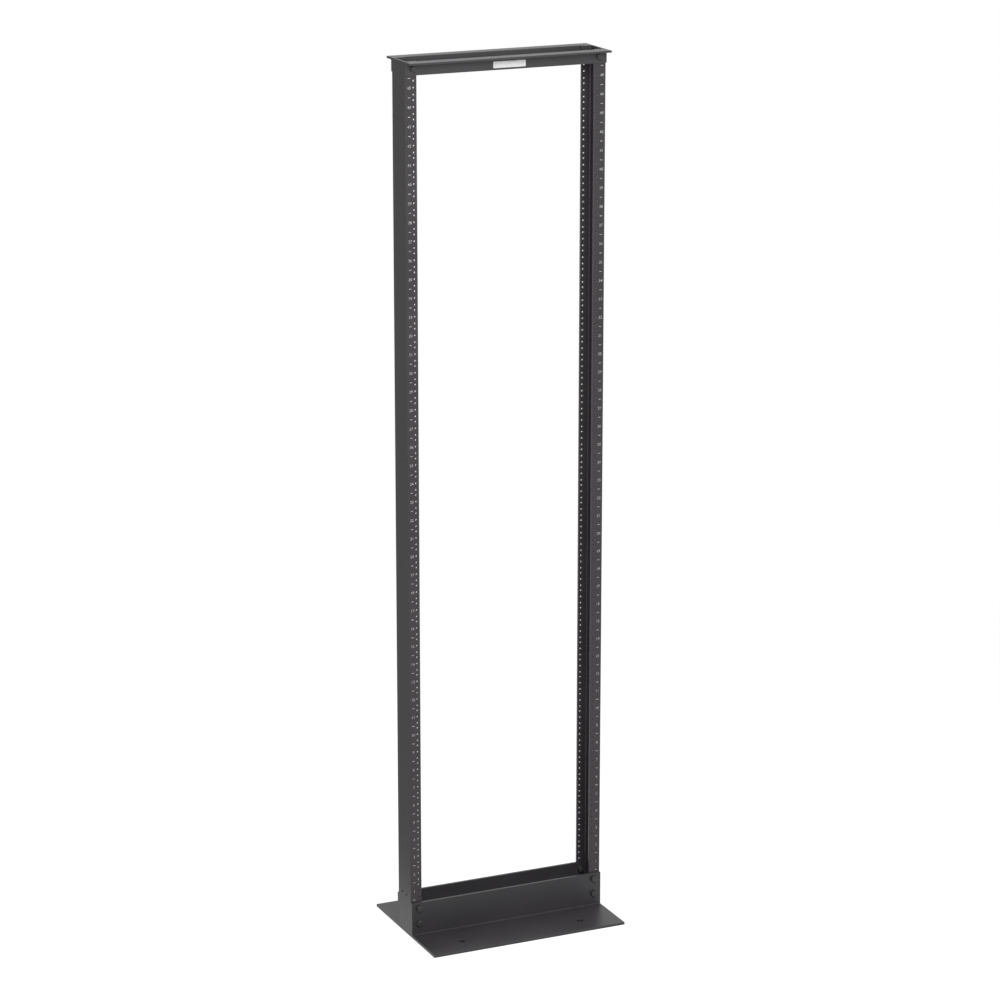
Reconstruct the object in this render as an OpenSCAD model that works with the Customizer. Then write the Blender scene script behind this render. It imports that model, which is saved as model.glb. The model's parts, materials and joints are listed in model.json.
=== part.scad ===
// Two post open frame rack for 19 inch equipment.
// Two channel uprights stand on a pair of wide base angles and are tied by a pair of top angles.
// Millimetres. X runs across the rack, -Y is the front, Z is up, and the origin is on the floor
// at the middle of the rack.

/* [Rack units] */
// Number of rack units between the base angles and the top angles
rack_units = 45; // [4:1:48]
// Height of one rack unit
unit_h = 44.45; // [40:0.05:50]
// Clear opening between the two uprights
opening_w = 450.85; // [300:0.05:700]
// Plain stretch of upright between the base angles and the lowest unit
bottom_margin = 6.35; // [2:0.05:60]
// Plain stretch of upright between the highest unit and the top angles
top_margin = 6.35; // [2:0.05:60]

/* [Equipment holes] */
// Diameter of an equipment hole
hole_d = 5.5; // [4:0.1:7]
// From the inner edge of a flange to the centres of its equipment holes
hole_edge = 7.125; // [5.5:0.005:9]
// From the bottom or top line of a unit to the centre of the nearest hole
hole_inset = 6.35; // [5:0.05:9]

/* [Uprights] */
// Depth of an upright, front face to rear face
channel_d = 76.2; // [60:0.1:160]
// Width of an upright's flanges
flange_w = 28.575; // [26:0.005:60]
// Thickness of an upright's flanges
flange_t = 6.35; // [3:0.05:8]
// Thickness of an upright's web
web_t = 4.8; // [3:0.1:6]
// Radius of the fillets inside an upright, between web and flanges
channel_fillet = 3.2; // [1:0.1:4]
// Radius of the long outer edges of the uprights and of all angles
edge_r = 0.8; // [0.3:0.1:1.2]
// Radius of the fillet between the two legs of an angle
angle_fillet = 1.6; // [1:0.1:3]

/* [Base angles] */
// Width of a base angle's floor leg
floor_leg = 142.875; // [100:0.005:260]
// Height of a base angle's upright leg
base_leg = 88.9; // [86:0.1:140]
// Thickness of a base angle
base_t = 6.35; // [4:0.05:12]
// Diameter of a floor anchor hole
anchor_d = 17.5; // [8:0.1:24]
// From the end of a base angle to the centre of its floor anchor hole
anchor_end = 95.25; // [40:0.05:140]
// From the toe of the floor leg to the centre of its anchor holes
anchor_toe = 53.975; // [20:0.005:80]

/* [Top angles] */
// Width of both legs of a top angle
top_leg = 31.75; // [28:0.05:80]
// Thickness of a top angle
top_t = 4.8; // [3:0.1:8]

/* [Frame bolts] */
// Diameter of the holes for the frame bolts
bolt_hole_d = 10.3; // [6:0.1:12]
// From the inner edge of a flange to the centres of the frame bolts
bolt_edge = 9.525; // [8:0.005:12]
// Height of the lower base bolt above the floor
base_bolt_z = 36.5; // [26:0.1:40]
// Distance between the two base bolts of a corner
base_bolt_pitch = 38.1; // [24:0.1:40]
// From the top of the rack down to the top bolts
top_bolt_drop = 15.9; // [13:0.1:20]

/* [Grounding holes] */
// Diameter of a grounding hole in an upright's web
ground_d = 7.1; // [4:0.1:10]
// Distance between the two grounding holes of an upright
ground_pitch = 25.4; // [14:0.1:40]
// Height of the grounding holes above the top of the base angles
ground_rise = 12.7; // [8:0.1:60]

/* [Hidden] */
$fn = 32;
over = 1;
left = -1;
right = 1;
front = -1;
rear = 1;
rack_w = opening_w + 2 * flange_w;
first_unit_z = base_leg + bottom_margin;
last_unit_top = first_unit_z + rack_units * unit_h;
rack_h = last_unit_top + top_margin + top_leg;
hole_x = opening_w / 2 + hole_edge;
bolt_x = opening_w / 2 + bolt_edge;
unit_holes = [hole_inset, unit_h / 2, unit_h - hole_inset];
base_bolts = [base_bolt_z, base_bolt_z + base_bolt_pitch];
top_bolts = [rack_h - top_bolt_drop];
finish = [0.28, 0.27, 0.28];

// The sliver between a square corner at the origin and a circle of radius r inside it.
// Added, it fillets an inner corner. Taken away, it rounds an outer one.
module corner_sliver(r) {
    difference() {
        square(r);
        translate([r, r]) circle(r);
    }
}

// The section of an upright: the web's outer face on x = 0, the flanges running along +x.
module channel_profile() {
    hollow_d = channel_d - 2 * flange_t;
    difference() {
        translate([0, -channel_d / 2]) square([flange_w, channel_d]);
        difference() {
            translate([web_t, -hollow_d / 2]) square([flange_w, hollow_d]);
            for (side = [0, 1]) mirror([0, side])
                translate([web_t, -hollow_d / 2]) corner_sliver(channel_fillet);
        }
        for (side = [0, 1]) mirror([0, side]) {
            translate([0, -channel_d / 2]) corner_sliver(edge_r);
            translate([flange_w, -channel_d / 2]) rotate(90) corner_sliver(edge_r);
            translate([flange_w, -hollow_d / 2]) rotate(180) corner_sliver(edge_r);
        }
    }
}

// The section of an angle: its heel at the origin, one leg along +x and one along +y.
module angle_profile(leg_x, leg_y, thickness) {
    difference() {
        square([leg_x, leg_y]);
        difference() {
            translate([thickness, thickness]) square([leg_x, leg_y]);
            translate([thickness, thickness]) corner_sliver(angle_fillet);
        }
        corner_sliver(edge_r);
        translate([leg_x, 0]) rotate(90) corner_sliver(edge_r);
        translate([leg_x, thickness]) rotate(180) corner_sliver(edge_r);
        translate([0, leg_y]) rotate(-90) corner_sliver(edge_r);
        translate([thickness, leg_y]) rotate(180) corner_sliver(edge_r);
    }
}

// An angle that runs the full width of the rack, its heel on the outer face of the uprights'
// front or rear flanges and its other leg pointing away from them.
module cross_angle(facing, leg_out, leg_up, thickness) {
    translate([-rack_w / 2, facing * channel_d / 2, 0])
        rotate([90, 0, 90])
            linear_extrude(rack_w)
                mirror([facing == front ? 1 : 0, 0])
                    angle_profile(leg_out, leg_up, thickness);
}

// A round cutter along Y, from y_start to y_end.
module cutter_y(x, z, d, y_start, y_end) {
    translate([x, y_start, z]) rotate([-90, 0, 0]) cylinder(d = d, h = y_end - y_start);
}

// Cutters for the frame bolts at the given heights, through both flanges of both uprights
// and through every leg that is bolted to them.
module bolt_cutters(heights, thickness) {
    reach = channel_d / 2 + thickness + over;
    for (side = [left, right], z = heights)
        cutter_y(side * bolt_x, z, bolt_hole_d, -reach, reach);
}

// Cutters for the equipment holes of one upright, three to a unit on each flange.
module equipment_cutters() {
    reach = channel_d / 2 + over;
    for (unit = [0 : rack_units - 1], rise = unit_holes)
        cutter_y(hole_x, first_unit_z + unit * unit_h + rise, hole_d, -reach, reach);
}

// Cutters for the pair of grounding holes in the web of the right upright.
module ground_cutters() {
    for (side = [front, rear])
        translate([rack_w / 2 - web_t - over, side * ground_pitch / 2, base_leg + ground_rise])
            rotate([0, 90, 0]) cylinder(d = ground_d, h = web_t + 2 * over);
}

// The right upright: a channel with its web outside and its flanges pointing into the rack.
module upright() {
    difference() {
        translate([rack_w / 2, 0, 0]) mirror([1, 0, 0])
            linear_extrude(rack_h) channel_profile();
        equipment_cutters();
        ground_cutters();
        bolt_cutters(concat(base_bolts, top_bolts), 0);
    }
}

module left_upright() {
    color(finish) mirror([1, 0, 0]) upright();
}

module right_upright() {
    color(finish) upright();
}

// A base angle: the wide leg lies flat on the floor and the other stands against the uprights.
module base_angle(facing) {
    anchor_y = facing * (channel_d / 2 + floor_leg - anchor_toe);
    difference() {
        cross_angle(facing, floor_leg, base_leg, base_t);
        bolt_cutters(base_bolts, base_t);
        for (side = [left, right])
            translate([side * (rack_w / 2 - anchor_end), anchor_y, -over])
                cylinder(d = anchor_d, h = base_t + 2 * over);
    }
}

module front_base_angle() {
    color(finish) base_angle(front);
}

module rear_base_angle() {
    color(finish) base_angle(rear);
}

// A top angle: one leg lies level with the tops of the uprights and the other hangs against them.
module top_angle(facing) {
    difference() {
        translate([0, 0, rack_h]) mirror([0, 0, 1])
            cross_angle(facing, top_leg, top_leg, top_t);
        bolt_cutters(top_bolts, top_t);
    }
}

module front_top_angle() {
    color(finish) top_angle(front);
}

module rear_top_angle() {
    color(finish) top_angle(rear);
}

left_upright();
right_upright();
front_base_angle();
rear_base_angle();
front_top_angle();
rear_top_angle();
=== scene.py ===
import json
import math

import bmesh
import bpy
from mathutils import Matrix, Vector


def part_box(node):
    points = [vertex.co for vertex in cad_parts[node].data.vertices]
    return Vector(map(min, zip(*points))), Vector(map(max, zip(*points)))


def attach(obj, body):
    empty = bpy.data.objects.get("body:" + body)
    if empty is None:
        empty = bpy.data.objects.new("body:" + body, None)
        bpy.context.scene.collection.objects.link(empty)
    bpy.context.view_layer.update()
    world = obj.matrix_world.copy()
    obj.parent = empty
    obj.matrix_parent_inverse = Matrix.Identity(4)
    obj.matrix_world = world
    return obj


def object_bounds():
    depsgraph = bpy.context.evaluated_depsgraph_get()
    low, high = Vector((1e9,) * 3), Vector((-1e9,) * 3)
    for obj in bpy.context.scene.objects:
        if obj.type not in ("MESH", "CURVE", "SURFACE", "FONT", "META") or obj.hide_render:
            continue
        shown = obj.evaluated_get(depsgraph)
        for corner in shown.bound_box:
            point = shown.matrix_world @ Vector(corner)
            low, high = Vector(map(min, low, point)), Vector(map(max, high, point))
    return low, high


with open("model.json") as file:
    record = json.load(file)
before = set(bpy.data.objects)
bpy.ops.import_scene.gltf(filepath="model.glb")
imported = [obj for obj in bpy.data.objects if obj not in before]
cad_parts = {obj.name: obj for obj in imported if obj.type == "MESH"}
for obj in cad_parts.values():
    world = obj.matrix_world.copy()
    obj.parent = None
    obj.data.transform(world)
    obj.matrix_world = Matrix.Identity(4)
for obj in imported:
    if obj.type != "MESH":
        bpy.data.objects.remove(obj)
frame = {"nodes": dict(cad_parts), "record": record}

# Finishes and small hardware of a two post open frame rack, in metres, +Z up, -Y the front.
# The six metal pieces come from the frame. The frame bolts, the threads of the equipment holes,
# the printed unit marks and the label are added here.
cad_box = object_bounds()
mounts = {mount["name"]: mount for mount in frame["record"]["mounts"]}
MM = 0.001

# ---- Studio ------------------------------------------------------------------------------------
# A white sweep with the rack standing free on it, under a large soft lamp from the front and one
# overhead. A grey card stands close on the left, as in a catalogue studio, so that the webs of the
# posts mirror something darker than the sweep.
CAMERA_PLACE = (-3.3551, -7.3718, 3.2975)
CAMERA_YAW = math.radians(24.4755)
CAMERA_PITCH = math.radians(15.4178)
CAMERA_LENS = 126.62
SWEEP_RADIUS = 9.0
SWEEP_WHITE = (0.38, 0.38, 0.38, 1.0)
CARD_GREY = 0.44
# Brightness of the painted shade in the anchor holes: dark discs that take no light.
PAINTED_HOLE_SHADE = 0.04


def add_node(tree, kind, fed=None, **settings):
    """A node with its settings, and its inputs by name: a number is set, an output is linked."""
    node = tree.nodes.new(kind)
    for setting, value in settings.items():
        setattr(node, setting, value)
    for socket, value in (fed or {}).items():
        if isinstance(value, bpy.types.NodeSocket):
            tree.links.new(value, node.inputs[socket])
        else:
            node.inputs[socket].default_value = value
    return node


def calculate(tree, operation, first, second):
    return add_node(tree, "ShaderNodeMath", {0: first, 1: second}, operation=operation).outputs[0]


def spread(tree, value, low, high, value_from=0.0, value_to=1.0, **settings):
    """A value that runs from value_from to value_to, spread over low to high."""
    return add_node(tree, "ShaderNodeMapRange",
                    {"Value": value, "From Min": value_from, "From Max": value_to,
                     "To Min": low, "To Max": high}, **settings).outputs["Result"]


def new_material(name):
    """A material without nodes, and its tree."""
    material = bpy.data.materials.new(name)
    material.use_nodes = True
    material.node_tree.nodes.clear()
    return material, material.node_tree


def show_piece(name, mesh, place=(0.0, 0.0, 0.0)):
    piece = bpy.data.objects.new(name, mesh)
    piece.location = place
    bpy.context.scene.collection.objects.link(piece)
    return piece


def background_seen(tree):
    """1 for the rays that look at the white background, straight or by a mirror."""
    path = add_node(tree, "ShaderNodeLightPath").outputs
    looking = calculate(tree, "MAXIMUM", path["Is Camera Ray"], path["Is Glossy Ray"])
    return calculate(tree, "MAXIMUM", looking, path["Is Transmission Ray"])


def studio_world(ambient):
    world = bpy.data.worlds.new("white_studio")
    world.use_nodes = True
    tree = world.node_tree
    background = tree.nodes["Background"]
    background.inputs["Color"].default_value = (1.0, 1.0, 1.0, 1.0)
    tree.links.new(spread(tree, background_seen(tree), ambient, 1.0),
                   background.inputs["Strength"])
    bpy.context.scene.world = world


def sweep_material(glow, plain_from, plain_to):
    """Matte white that takes the rack's shadow close by and is plain white further out."""
    material, tree = new_material("white_sweep")
    seen = background_seen(tree)
    paint = add_node(tree, "ShaderNodeBsdfDiffuse", {"Color": SWEEP_WHITE}).outputs[0]
    lift = add_node(tree, "ShaderNodeEmission", {"Strength": spread(tree, seen, 0.0, glow)})
    near = add_node(tree, "ShaderNodeAddShader", {0: paint, 1: lift.outputs[0]})
    white = add_node(tree, "ShaderNodeEmission", {"Strength": 1.0})
    far = add_node(tree, "ShaderNodeMixShader", {0: seen, 1: paint, 2: white.outputs[0]})
    place = add_node(tree, "ShaderNodeTexCoord").outputs["Object"]
    reach = add_node(tree, "ShaderNodeVectorMath", {0: place}, operation="LENGTH")
    fade = spread(tree, reach.outputs["Value"], 0.0, 1.0, plain_from, plain_to,
                  interpolation_type="SMOOTHSTEP")
    sweep = add_node(tree, "ShaderNodeMixShader", {0: fade, 1: near.outputs[0], 2: far.outputs[0]})
    add_node(tree, "ShaderNodeOutputMaterial", {"Surface": sweep.outputs[0]})
    return material


def even_grey(name, brightness):
    """A grey that takes no light, for the card that is only there to be mirrored and for the painted
    shade seen in the anchor holes.
    """
    material, tree = new_material(name)
    grey = add_node(tree, "ShaderNodeEmission", {"Strength": brightness})
    add_node(tree, "ShaderNodeOutputMaterial", {"Surface": grey.outputs[0]})
    return material


def floor_disc(name, radius, sides, place, material):
    mesh = bpy.data.meshes.new(name)
    disc = bmesh.new()
    bmesh.ops.create_circle(disc, cap_ends=True, radius=radius, segments=sides)
    disc.to_mesh(mesh)
    disc.free()
    mesh.materials.append(material)
    show_piece(name, mesh, place)


def mirrored_card(name, low, high):
    """An upright card along Y that shows only in the rack's own reflections."""
    mesh = bpy.data.meshes.new(name)
    corners = [(low[0], low[1], low[2]), (low[0], high[1], low[2]),
               (low[0], high[1], high[2]), (low[0], low[1], high[2])]
    mesh.from_pydata(corners, [], [(0, 1, 2, 3)])
    mesh.materials.append(even_grey(name, CARD_GREY))
    card = show_piece(name, mesh)
    card.visible_camera = False
    card.visible_diffuse = False
    card.visible_shadow = False


def soft_lamp(name, place, target, width, power):
    lamp = bpy.data.lights.new(name, "AREA")
    lamp.size = width
    lamp.energy = power
    holder = show_piece(name, lamp, place)
    holder.rotation_euler = (Vector(target) - Vector(place)).to_track_quat("-Z", "Y").to_euler()


def rack_camera():
    data = bpy.data.cameras.new("camera")
    data.lens = CAMERA_LENS
    camera = show_piece("camera", data, CAMERA_PLACE)
    camera.rotation_euler = (math.pi / 2 - CAMERA_PITCH, 0.0, -CAMERA_YAW)
    bpy.context.scene.camera = camera


bpy.context.scene.view_settings.view_transform = "Standard"
studio_world(ambient=0.31)
floor_disc("sweep", SWEEP_RADIUS, 96, (0.0, 0.0, 0.0), sweep_material(0.83, 1.0, 3.0))
anchors = mounts["floor_anchors"]["dims"]
# Painted shade: a dark disc that takes no light lies on the sweep under each anchor hole, so that
# the holes show dark instead of the white floor.
hole_shade_material = even_grey("anchor_hole_painted_shade", PAINTED_HOLE_SHADE)
for side_x in (-1, 1):
    for side_y in (-1, 1):
        hole_shade_place = (side_x * anchors["spacing_x_mm"] * MM / 2,
                     side_y * anchors["spacing_y_mm"] * MM / 2, 0.3 * MM)
        floor_disc("anchor_hole_painted_shade", anchors["hole_r_mm"] * MM, 32, hole_shade_place, hole_shade_material)
mirrored_card("left_card", (-0.36, -0.15, 0.01), (-0.36, 0.8, 2.4))
soft_lamp("front_lamp", (-1.0, -3.2, 3.2), (0.0, 0.0, 1.7), 2.0, 130.0)
soft_lamp("overhead_lamp", (0.5, 0.5, 4.6), (0.0, 0.0, 0.0), 3.0, 25.0)
rack_camera()

# ---- Powder coat -------------------------------------------------------------------------------
# The aluminium pieces are cleaned, sprayed with black epoxy powder and baked. The coat flows into
# a fine orange peel, is a little uneven in tone and lies thinner on every sharp edge. Its edges are
# painted much paler, partly for the thinner coat and partly as a painted highlight.
COAT_IOR = 1.44
COAT_PEEL = 2.2 * MM
COAT_GRAIN = 0.4 * MM
COAT_DRIFT = 200.0 * MM
COAT_RELIEF = 0.035 * MM
COAT_EDGE = 1.2 * MM
COAT_BREAKS = 6.0 * MM
COAT_GLOSS = (0.35, 0.45)
TONE_STOPS = (0.35, 0.65)


def new_group(name, kind, sizes, results, handed=()):
    """A node group and what it is given: sizes with first values, and handed things by type."""
    tree = bpy.data.node_groups.new(name, kind)
    for thing in handed:
        tree.interface.new_socket(name=thing, in_out="INPUT", socket_type="NodeSocket" + thing)
    for size, value in sizes.items():
        socket = tree.interface.new_socket(name=size, in_out="INPUT",
                                           socket_type="NodeSocketFloat")
        socket.default_value = value
    for result, result_type in results.items():
        tree.interface.new_socket(name=result, in_out="OUTPUT",
                                  socket_type="NodeSocket" + result_type)
    return tree, tree.nodes.new("NodeGroupInput").outputs


def noise(tree, size, detail):
    """Noise over the Object coordinates, with lumps of about the given size."""
    place = add_node(tree, "ShaderNodeTexCoord").outputs["Object"]
    return add_node(tree, "ShaderNodeTexNoise",
                    {"Vector": place, "Scale": calculate(tree, "DIVIDE", 1.0, size),
                     "Detail": detail}).outputs[0]


def orange_peel_group():
    """Height of the coat's surface, and the slow drift of its tone and gloss."""
    tree, given = new_group("orange_peel", "ShaderNodeTree",
                            {"Peel Size": COAT_PEEL, "Grain Size": COAT_GRAIN,
                             "Drift Size": COAT_DRIFT},
                            {"Height": "Float", "Drift": "Float"})
    grain = calculate(tree, "MULTIPLY", noise(tree, given["Grain Size"], 2.0), 0.25)
    height = calculate(tree, "ADD", noise(tree, given["Peel Size"], 1.0), grain)
    add_node(tree, "NodeGroupOutput",
             {"Height": height, "Drift": noise(tree, given["Drift Size"], 3.0)})
    return tree


def thin_edge_group():
    """1 along an edge, broken up by a fine noise, else 0: where a finish lies thin and wears, and
    where a powder coat takes its painted highlight.
    """
    tree, given = new_group("edge_wear_and_highlight", "ShaderNodeTree",
                            {"Width": COAT_EDGE, "Break Size": COAT_BREAKS},
                            {"Mask": "Float"})
    rounded = add_node(tree, "ShaderNodeBevel", {"Radius": given["Width"]}, samples=4)
    surface = add_node(tree, "ShaderNodeNewGeometry")
    turn = add_node(tree, "ShaderNodeVectorMath",
                    {0: rounded.outputs[0], 1: surface.outputs["True Normal"]},
                    operation="DOT_PRODUCT")
    edge = spread(tree, turn.outputs["Value"], 0.0, 1.0, 0.99, 0.85)
    mask = calculate(tree, "MULTIPLY", edge, noise(tree, given["Break Size"], 3.0))
    add_node(tree, "NodeGroupOutput", {"Mask": mask})
    return tree


ORANGE_PEEL = orange_peel_group()
EDGE_WEAR_AND_HIGHLIGHT = thin_edge_group()


def finish(name, tones, roughness, sizes, relief, edge=None, **look):
    """A finish whose tone and gloss drift together over a fine relief.

    The sizes are those of the peel, the grain and the drift. An edge is the width of the pale band
    along the edges, the size of its breaks and its tone: worn corners on the bolts, and on the
    powder coats a thinner coat together with a painted highlight.
    """
    material, tree = new_material(name)
    peel = add_node(tree, "ShaderNodeGroup", node_tree=ORANGE_PEEL)
    for socket, size in zip(peel.inputs, sizes):
        socket.default_value = size
    tone = add_node(tree, "ShaderNodeValToRGB", {"Fac": peel.outputs["Drift"]})
    for stop, place, colour in zip(tone.color_ramp.elements, TONE_STOPS, tones):
        stop.position = place
        stop.color = (*colour, 1.0)
    colour = tone.outputs["Color"]
    if edge:
        width, breaks, wear_and_highlight_tone = edge
        mask = add_node(tree, "ShaderNodeGroup", node_tree=EDGE_WEAR_AND_HIGHLIGHT)
        mask.inputs["Width"].default_value = width
        mask.inputs["Break Size"].default_value = breaks
        worn_and_highlit = add_node(tree, "ShaderNodeMix", data_type="RGBA")
        tree.links.new(mask.outputs["Mask"], worn_and_highlit.inputs["Factor"])
        tree.links.new(colour, worn_and_highlit.inputs["A"])
        worn_and_highlit.inputs["B"].default_value = (*wear_and_highlight_tone, 1.0)
        colour = worn_and_highlit.outputs["Result"]
    bump = add_node(tree, "ShaderNodeBump", {"Height": peel.outputs["Height"],
                                             "Strength": 1.0, "Distance": relief})
    surface = add_node(tree, "ShaderNodeBsdfPrincipled",
                       {"Base Color": colour, "Normal": bump.outputs["Normal"],
                        "Roughness": spread(tree, peel.outputs["Drift"], *roughness), **look})
    add_node(tree, "ShaderNodeOutputMaterial", {"Surface": surface.outputs[0]})
    return material


def powder_coat(name, dark, light, thin_coat_and_highlight_tone):
    """Satin black coat whose tone drifts between dark and light and pales at the edges, partly for
    the thinner coat there and partly as a painted highlight.
    """
    return finish(name, (dark, light), COAT_GLOSS, (COAT_PEEL, COAT_GRAIN, COAT_DRIFT),
                  COAT_RELIEF, (COAT_EDGE, COAT_BREAKS, thin_coat_and_highlight_tone), IOR=COAT_IOR)


def coat_node(name, material):
    """Gives a metal piece of the frame its finish."""
    node = frame["nodes"][name]
    if not node.data.materials:
        node.data.materials.append(material)
    for place in range(len(node.data.materials)):
        node.data.materials[place] = material


# ---- Uprights ----------------------------------------------------------------------------------
# Two extruded aluminium channels, webs outside. Both flanges of each are drilled and tapped with
# the three holes of every rack unit, before the coat goes on.
UPRIGHTS = ("left_upright", "right_upright")
UNITS = 45
UNIT_H = 44.45 * MM
UNIT_HOLES = (6.35 * MM, UNIT_H / 2, UNIT_H - 6.35 * MM)
FLANGE_T = 6.35 * MM
THREAD_DEPTH = 0.55 * MM
THREAD_PITCH = 1.06 * MM
THREAD_TURNS = 5.5

# The edge tone is several times the coat's: partly the thinner coat on the edges, partly a painted
# highlight.
upright_coat = powder_coat("upright_powder_coat", (0.035, 0.0310, 0.0345),
                           (0.043, 0.0385, 0.0425), (0.16, 0.155, 0.16))
for name in UPRIGHTS:
    coat_node(name, upright_coat)

lowest_unit = mounts["equipment_unit_lowest"]
first_line_z = lowest_unit["pos_m"][2] - UNIT_H / 2
hole_x = lowest_unit["dims"]["spacing_x_mm"] * MM / 2
hole_r = lowest_unit["dims"]["hole_r_mm"] * MM
flange_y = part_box("right_upright")[1].y


def vector(tree, x=0.0, y=0.0, z=0.0):
    return add_node(tree, "ShaderNodeCombineXYZ", {"X": x, "Y": y, "Z": z}).outputs[0]


def place_tree(name, sizes):
    """A tree that takes the places of the copies as a Geometry, a Material and named sizes."""
    return new_group(name, "GeometryNodeTree", sizes, {"Result": "Geometry"},
                     ("Geometry", "Material"))


def finish_tree(tree, geometry, material):
    """Ends a tree: the copies made real, and their finish."""
    real = add_node(tree, "GeometryNodeRealizeInstances", {"Geometry": geometry})
    painted = add_node(tree, "GeometryNodeSetMaterial",
                       {"Geometry": real.outputs[0], "Material": material})
    add_node(tree, "NodeGroupOutput", {"Result": painted.outputs[0]})


def thread_ridge(tree, radius, depth, height, turns, steps):
    """A closed ridge that winds up +Z at the radius. A depth below 0 points to the axis."""
    helix = add_node(tree, "GeometryNodeCurveSpiral",
                     {"Resolution": steps, "Rotations": turns, "Start Radius": radius,
                      "End Radius": radius, "Height": height})
    upright_normals = add_node(tree, "GeometryNodeSetCurveNormal",
                               {"Curve": helix.outputs[0]}, mode="Z_UP")
    section = add_node(tree, "GeometryNodeCurvePrimitiveCircle", {"Resolution": 3, "Radius": 1.0})
    across = calculate(tree, "DIVIDE", depth, 1.5)
    along = calculate(tree, "DIVIDE", height, calculate(tree, "MULTIPLY", turns, 2.0))
    flat = add_node(tree, "GeometryNodeTransform",
                    {"Geometry": section.outputs[0], "Scale": vector(tree, across, along, 1.0)})
    ridge = add_node(tree, "GeometryNodeCurveToMesh",
                     {"Curve": upright_normals.outputs[0], "Profile Curve": flat.outputs[0],
                      "Fill Caps": True})
    return ridge.outputs[0]


def facing_out(tree):
    """Turns +Z of a copy to -Y at a place on the front, and to +Y at one on the rear."""
    place = add_node(tree, "ShaderNodeSeparateXYZ",
                     {0: add_node(tree, "GeometryNodeInputPosition").outputs[0]})
    side = calculate(tree, "SIGN", place.outputs["Y"], 0.0)
    return vector(tree, calculate(tree, "MULTIPLY", side, -math.pi / 2))


def tapped_thread_tree():
    tree, given = place_tree("tapped_thread", {"Bore Radius": hole_r, "Depth": THREAD_DEPTH,
                                               "Pitch": THREAD_PITCH, "Turns": THREAD_TURNS})
    height = calculate(tree, "MULTIPLY", given["Pitch"], given["Turns"])
    inward = calculate(tree, "MULTIPLY", given["Depth"], -1.0)
    ridge = thread_ridge(tree, given["Bore Radius"], inward, height, given["Turns"], 8)
    centred = add_node(tree, "GeometryNodeTransform",
                       {"Geometry": ridge,
                        "Translation": vector(tree, z=calculate(tree, "MULTIPLY", height, -0.5))})
    copies = add_node(tree, "GeometryNodeInstanceOnPoints",
                      {"Points": given["Geometry"], "Instance": centred.outputs[0],
                       "Rotation": facing_out(tree)})
    finish_tree(tree, copies.outputs[0], given["Material"])
    return tree


def grow(name, tree, places, values):
    """Runs a tree on the places and keeps what it makes as a plain mesh that rides on the rack."""
    mesh = bpy.data.meshes.new(name)
    mesh.from_pydata(places, [], [])
    piece = show_piece(name, mesh)
    modifier = piece.modifiers.new(tree.name, "NODES")
    modifier.node_group = tree
    for socket in tree.interface.items_tree:
        if socket.in_out == "INPUT" and socket.name in values:
            modifier[socket.identifier] = values[socket.name]
    depsgraph = bpy.context.evaluated_depsgraph_get()
    piece_mesh = bpy.data.meshes.new_from_object(piece.evaluated_get(depsgraph))
    piece.modifiers.remove(modifier)
    piece.data = piece_mesh
    bpy.data.meshes.remove(mesh)
    piece_mesh.name = name
    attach(piece, "root")
    return piece


TAPPED_THREAD = tapped_thread_tree()
for name, side in zip(UPRIGHTS, (-1, 1)):
    holes = [(side * hole_x, face * (flange_y - FLANGE_T / 2), first_line_z + unit * UNIT_H + rise)
             for face in (-1, 1) for unit in range(UNITS) for rise in UNIT_HOLES]
    grow(name + "_threads", TAPPED_THREAD, holes, {"Material": upright_coat})

# ---- Base angles -------------------------------------------------------------------------------
# Two heavy aluminium angles. The wide legs lie flat on the floor and take the anchor bolts, and
# the others are bolted against the flanges of the uprights.
# The edge tone is several times the coat's: partly the thinner coat on the edges, partly a painted
# highlight.
base_coat = powder_coat("base_powder_coat", (0.036, 0.0335, 0.0365), (0.044, 0.041, 0.0445),
                        (0.18, 0.178, 0.182))
for name in ("front_base_angle", "rear_base_angle"):
    coat_node(name, base_coat)

# ---- Top angles --------------------------------------------------------------------------------
# Two light angles tie the heads of the uprights. Their level legs lie flush with the tops of the
# uprights and carry a cable runway where one is fitted.
# The edge tone is several times the coat's: partly the thinner coat on the edges, partly a painted
# highlight.
# The same black powder as on the uprights, painted a little lighter to stand in for the stronger
# light on the top angles.
top_coat_painted_lighter = powder_coat("top_powder_coat_painted_lighter", (0.038, 0.0360, 0.0385), (0.046, 0.0435, 0.0465),
                       (0.18, 0.178, 0.182))
for name in ("front_top_angle", "rear_top_angle"):
    coat_node(name, top_coat_painted_lighter)

# ---- Frame bolts -------------------------------------------------------------------------------
# Twelve black steel hexagon bolts, heads outside, with a washer under each head and a washer and
# a nut inside the channel. They are turned and headed from bar, and their threads are rolled.
HEX_FLATS = 14.3 * MM
HEAD_H = 6.0 * MM
NUT_H = 8.2 * MM
WASHER_D = 17.2 * MM
WASHER_T = 1.6 * MM
SHANK_D = 9.5 * MM
BOLT_PITCH = 1.59 * MM
BOLT_END = 3.2 * MM
CROWN_SHARE = 0.475
BOLT_X = 234.95 * MM
BASE_BOLT_Z = (36.5 * MM, 74.6 * MM)
TOP_BOLT_DROP = 15.9 * MM
BASE_T = 6.35 * MM
TOP_T = 4.8 * MM


def black_oxide():
    """Dark oxidised steel, a little paler on its corners."""
    return finish("black_oxide_steel", ((0.034, 0.033, 0.035), (0.048, 0.046, 0.047)),
                  (0.35, 0.5), (0.5 * MM, 0.15 * MM, 8.0 * MM), 0.01 * MM,
                  (0.5 * MM, 2.0 * MM, (0.13, 0.128, 0.126)), Metallic=0.25)


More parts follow.
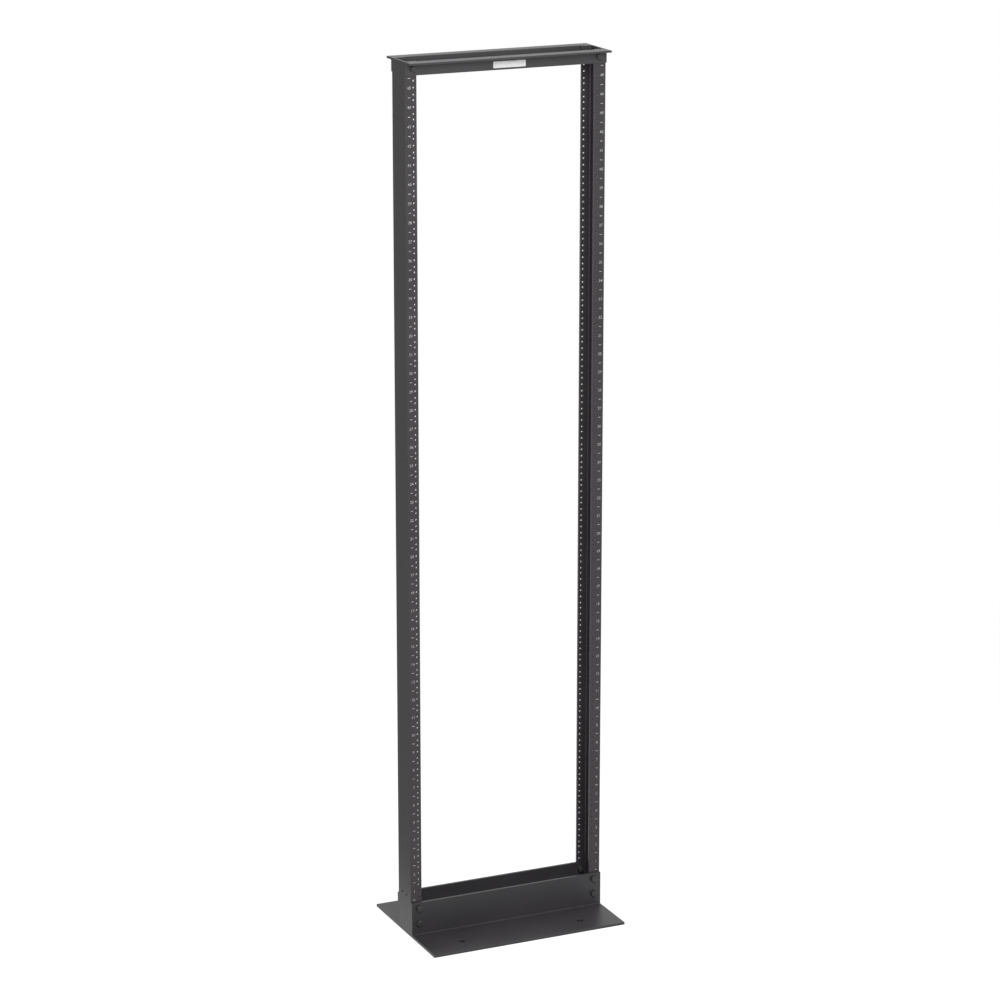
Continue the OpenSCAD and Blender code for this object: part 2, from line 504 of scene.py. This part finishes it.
def cylinder(tree, diameter, low, high, sides=32):
    """A closed cylinder about Z, from low to high."""
    height = calculate(tree, "SUBTRACT", high, low)
    drum = add_node(tree, "GeometryNodeMeshCylinder",
                    {"Vertices": sides, "Radius": calculate(tree, "MULTIPLY", diameter, 0.5),
                     "Depth": height})
    middle = calculate(tree, "MULTIPLY", calculate(tree, "ADD", low, high), 0.5)
    return add_node(tree, "GeometryNodeTransform",
                    {"Geometry": drum.outputs["Mesh"],
                     "Translation": vector(tree, z=middle)}).outputs[0]


def hexagon(tree, flats, height):
    """A hexagon prism on Z = 0 whose upper corners are turned off at 30 degrees."""
    corners = calculate(tree, "MULTIPLY", flats, 2 / math.sqrt(3))
    prism = cylinder(tree, corners, 0.0, height, sides=6)
    crown = calculate(tree, "MULTIPLY", flats, CROWN_SHARE)
    foot = calculate(tree, "ADD", crown, calculate(tree, "MULTIPLY", height, math.sqrt(3)))
    cone = add_node(tree, "GeometryNodeMeshCone",
                    {"Vertices": 36, "Radius Top": crown, "Radius Bottom": foot, "Depth": height})
    turned = add_node(tree, "GeometryNodeMeshBoolean", operation="INTERSECT", solver="EXACT")
    tree.links.new(prism, turned.inputs["Mesh 2"])
    tree.links.new(cone.outputs["Mesh"], turned.inputs["Mesh 2"])
    return turned.outputs["Mesh"]


def moved(tree, geometry, z, half_turn=False):
    return add_node(tree, "GeometryNodeTransform",
                    {"Geometry": geometry, "Translation": vector(tree, z=z),
                     "Rotation": (math.pi if half_turn else 0.0, 0.0, 0.0)}).outputs[0]


def frame_bolt_tree():
    """Bolt, washers and nut through a grip of metal, the head's side on Z = 0."""
    tree, given = place_tree("frame_bolt", {"Grip": FLANGE_T + BASE_T, "Flats": HEX_FLATS,
                                            "Head Height": HEAD_H, "Nut Height": NUT_H,
                                            "Washer Diameter": WASHER_D,
                                            "Washer Thickness": WASHER_T,
                                            "Shank Diameter": SHANK_D, "Thread End": BOLT_END,
                                            "Thread Pitch": BOLT_PITCH})
    washer_t = given["Washer Thickness"]
    under = calculate(tree, "MULTIPLY", given["Grip"], -1.0)
    nut_top = calculate(tree, "SUBTRACT", under, washer_t)
    nut_end = calculate(tree, "SUBTRACT", nut_top, given["Nut Height"])
    tip = calculate(tree, "SUBTRACT", nut_end, given["Thread End"])
    turns = calculate(tree, "DIVIDE", given["Thread End"], given["Thread Pitch"])
    root_d = calculate(tree, "SUBTRACT", given["Shank Diameter"], given["Thread Pitch"])
    ridge = thread_ridge(tree, calculate(tree, "MULTIPLY", root_d, 0.5),
                         calculate(tree, "MULTIPLY", given["Thread Pitch"], 0.5),
                         given["Thread End"], turns, 16)
    pieces = [
        moved(tree, hexagon(tree, given["Flats"], given["Head Height"]), washer_t),
        cylinder(tree, given["Washer Diameter"], 0.0, washer_t),
        cylinder(tree, given["Washer Diameter"], nut_top, under),
        moved(tree, hexagon(tree, given["Flats"], given["Nut Height"]), nut_top, True),
        cylinder(tree, given["Shank Diameter"], nut_end, washer_t, sides=24),
        cylinder(tree, root_d, tip, nut_end, sides=24),
        moved(tree, ridge, tip),
    ]
    bolt = tree.nodes.new("GeometryNodeJoinGeometry")
    for piece in pieces:
        tree.links.new(piece, bolt.inputs[0])
    copies = add_node(tree, "GeometryNodeInstanceOnPoints",
                      {"Points": given["Geometry"], "Instance": bolt.outputs[0],
                       "Rotation": facing_out(tree)})
    turn = add_node(tree, "FunctionNodeRandomValue", {"Seed": 7}, data_type="FLOAT")
    spin = calculate(tree, "MULTIPLY", turn.outputs[1], math.pi / 3)
    tightened = add_node(tree, "GeometryNodeRotateInstances",
                         {"Instances": copies.outputs[0], "Rotation": vector(tree, z=spin)})
    finish_tree(tree, tightened.outputs[0], given["Material"])
    return tree


FRAME_BOLT = frame_bolt_tree()
bolt_steel = black_oxide()
rack_top = cad_box[1].z
for name, angle_t, heights in (("base_bolts", BASE_T, BASE_BOLT_Z),
                               ("top_bolts", TOP_T, (rack_top - TOP_BOLT_DROP,))):
    places = [(side * BOLT_X, face * (flange_y + angle_t), height)
              for face in (-1, 1) for side in (-1, 1) for height in heights]
    grow(name, FRAME_BOLT, places, {"Grip": FLANGE_T + angle_t, "Material": bolt_steel})

# ---- Unit marks --------------------------------------------------------------------------------
# White ink, screen printed on both flanges of both uprights beside the holes: a short line where
# each rack unit begins and the unit's number at its middle, counted up from the base.
MARK_X = 244.4 * MM
LINE_W = 6.0 * MM
LINE_H = 1.4 * MM
INK_T = 0.1 * MM
DIGIT_H = 6.6 * MM


def screen_ink():
    """Matte white ink, thinner here and there so that the black coat dulls it."""
    return finish("screen_ink", ((0.36, 0.36, 0.37), (0.62, 0.62, 0.61)), (0.5, 0.7),
                  (1.2 * MM, 0.3 * MM, 5.0 * MM), 0.01 * MM, IOR=COAT_IOR)


def unit_line_tree():
    tree, given = place_tree("unit_lines", {"Unit Height": UNIT_H, "Line Width": LINE_W,
                                            "Line Height": LINE_H, "Ink Thickness": INK_T})
    column = add_node(tree, "GeometryNodeMeshLine",
                      {"Count": UNITS + 1, "Offset": vector(tree, z=given["Unit Height"])})
    columns = add_node(tree, "GeometryNodeInstanceOnPoints",
                       {"Points": given["Geometry"], "Instance": column.outputs[0]})
    spots = add_node(tree, "GeometryNodeRealizeInstances", {"Geometry": columns.outputs[0]})
    line = add_node(tree, "GeometryNodeMeshCube",
                    {"Size": vector(tree, given["Line Width"], given["Ink Thickness"],
                                    given["Line Height"])})
    lines = add_node(tree, "GeometryNodeInstanceOnPoints",
                     {"Points": spots.outputs[0], "Instance": line.outputs[0]})
    finish_tree(tree, lines.outputs[0], given["Material"])
    return tree


def number_mesh(number):
    """The number as flat ink, upright in XY, centred on the origin and DIGIT_H high."""
    text = bpy.data.curves.new("number", "FONT")
    text.body = str(number)
    text.resolution_u = 3
    text.align_x = "CENTER"
    holder = show_piece("number", text)
    depsgraph = bpy.context.evaluated_depsgraph_get()
    mesh = bpy.data.meshes.new_from_object(holder.evaluated_get(depsgraph))
    bpy.data.objects.remove(holder)
    bpy.data.curves.remove(text)
    heights = [vertex.co.y for vertex in mesh.vertices]
    to_middle = Matrix.Translation((0.0, -(max(heights) + min(heights)) / 2, 0.0))
    to_size = Matrix.Scale(DIGIT_H / (max(heights) - min(heights)), 4)
    mesh.transform(to_size @ to_middle)
    return mesh


def unit_numbers(name, ink):
    """Every unit's number on both flanges of both uprights, as one piece of thin ink."""
    numbers = bmesh.new()
    for unit in range(UNITS):
        flat = number_mesh(unit + 1)
        middle = first_line_z + (unit + 0.5) * UNIT_H
        for side in (-1, 1):
            for face in (-1, 1):
                stand = Matrix.Rotation(math.pi / 2, 4, "X")
                if face == 1:
                    stand = Matrix.Rotation(math.pi, 4, "Z") @ stand
                place = Matrix.Translation((side * MARK_X, face * (flange_y + INK_T / 2), middle))
                copy = flat.copy()
                copy.transform(place @ stand)
                numbers.from_mesh(copy)
                bpy.data.meshes.remove(copy)
        bpy.data.meshes.remove(flat)
    mesh = bpy.data.meshes.new(name)
    numbers.to_mesh(mesh)
    numbers.free()
    mesh.materials.append(ink)
    piece = show_piece(name, mesh)
    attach(piece, "root")


ink = screen_ink()
line_feet = [(side * MARK_X, face * flange_y, first_line_z) for side in (-1, 1) for face in (-1, 1)]
grow("unit_lines", unit_line_tree(), line_feet, {"Material": ink})
unit_numbers("unit_numbers", ink)

# ---- Blank label -------------------------------------------------------------------------------
# A pale plastic label without any print, glued on the hanging leg of the front top angle.
LABEL_SIZE = (82.0 * MM, 15.5 * MM)
LABEL_T = 0.6 * MM
LABEL_CORNER = 2.0 * MM
LABEL_X = 5.0 * MM
LABEL_DROP = 19.5 * MM


def label_film():
    """Pale plastic film, a little uneven where the glue took."""
    return finish("label_film", ((0.66, 0.66, 0.66), (0.74, 0.74, 0.745)), (0.35, 0.5),
                  (3.0 * MM, 0.4 * MM, 25.0 * MM), 0.005 * MM)


def blank_label(name, film):
    """A thin plate with round corners and a rolled front edge."""
    plate = bmesh.new()
    outline = []
    for corner in range(4):
        middle_x = (LABEL_SIZE[0] / 2 - LABEL_CORNER) * (1 if corner in (0, 3) else -1)
        middle_z = (LABEL_SIZE[1] / 2 - LABEL_CORNER) * (1 if corner in (0, 1) else -1)
        for step in range(7):
            angle = (corner + step / 6) * math.pi / 2
            outline.append(plate.verts.new((LABEL_X + middle_x + LABEL_CORNER * math.cos(angle), 0.0,
                                            middle_z + LABEL_CORNER * math.sin(angle))))
    back = plate.faces.new(outline)
    grown = bmesh.ops.extrude_face_region(plate, geom=[back])["geom"]
    front = [element for element in grown if isinstance(element, bmesh.types.BMVert)]
    bmesh.ops.translate(plate, verts=front, vec=(0.0, -LABEL_T, 0.0))
    rim = [edge for edge in plate.edges if all(vertex in front for vertex in edge.verts)]
    bmesh.ops.bevel(plate, geom=rim, offset=LABEL_T * 0.4, segments=2, affect="EDGES")
    bmesh.ops.recalc_face_normals(plate, faces=plate.faces)
    leg_face = -(flange_y + TOP_T)
    bmesh.ops.translate(plate, verts=plate.verts, vec=(0.0, leg_face, rack_top - LABEL_DROP))
    mesh = bpy.data.meshes.new(name)
    plate.to_mesh(mesh)
    plate.free()
    mesh.materials.append(film)
    piece = show_piece(name, mesh)
    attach(piece, "root")


blank_label("blank_label", label_film())
